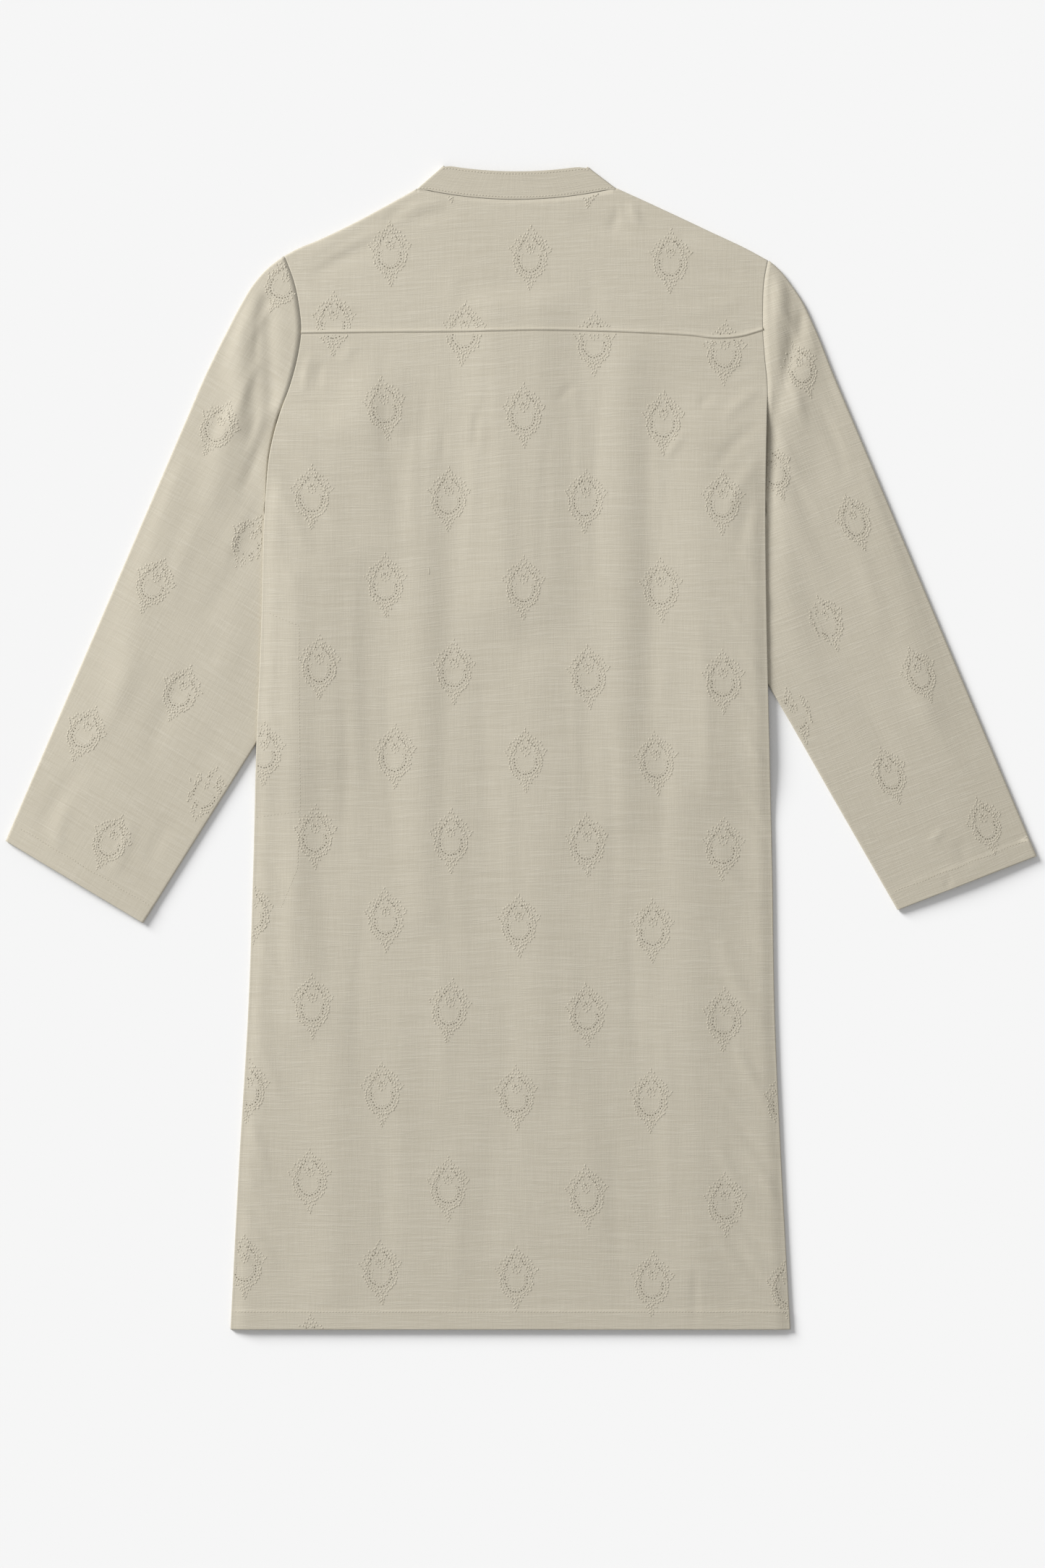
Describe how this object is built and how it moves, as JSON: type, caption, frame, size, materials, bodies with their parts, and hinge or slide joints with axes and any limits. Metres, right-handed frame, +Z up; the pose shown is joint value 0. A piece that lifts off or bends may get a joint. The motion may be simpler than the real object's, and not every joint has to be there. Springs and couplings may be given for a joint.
{
  "type": "kurta tunic laid flat",
  "caption": "Long-sleeved kurta tunic with a band collar and a back yoke, laid flat with its back up and its sleeves angled down.",
  "frame": {"origin": "on the surface the garment lies on, under the middle of its box", "axes": "+Z up, away from that surface and out of the garment's back; +Y from the hem to the collar; +X towards the sleeve that is on the right when looking at the back"},
  "size_m": [0.951, 1.0746, 0.0086],
  "materials": {
    "cloth": "slub cotton and linen plain weave, matte, with self-coloured embroidery",
    "button": "satin"
  },
  "bodies": {
    "root": {"back_panel": "cloth", "back_yoke": "cloth", "front_panel": "cloth", "placket": "cloth", "collar": "cloth", "sleeve_left": "cloth", "sleeve_right": "cloth", "pocket_bag": "cloth", "button_1": "button", "button_2": "button", "button_3": "button", "button_4": "button"}
  },
  "joints": []
}
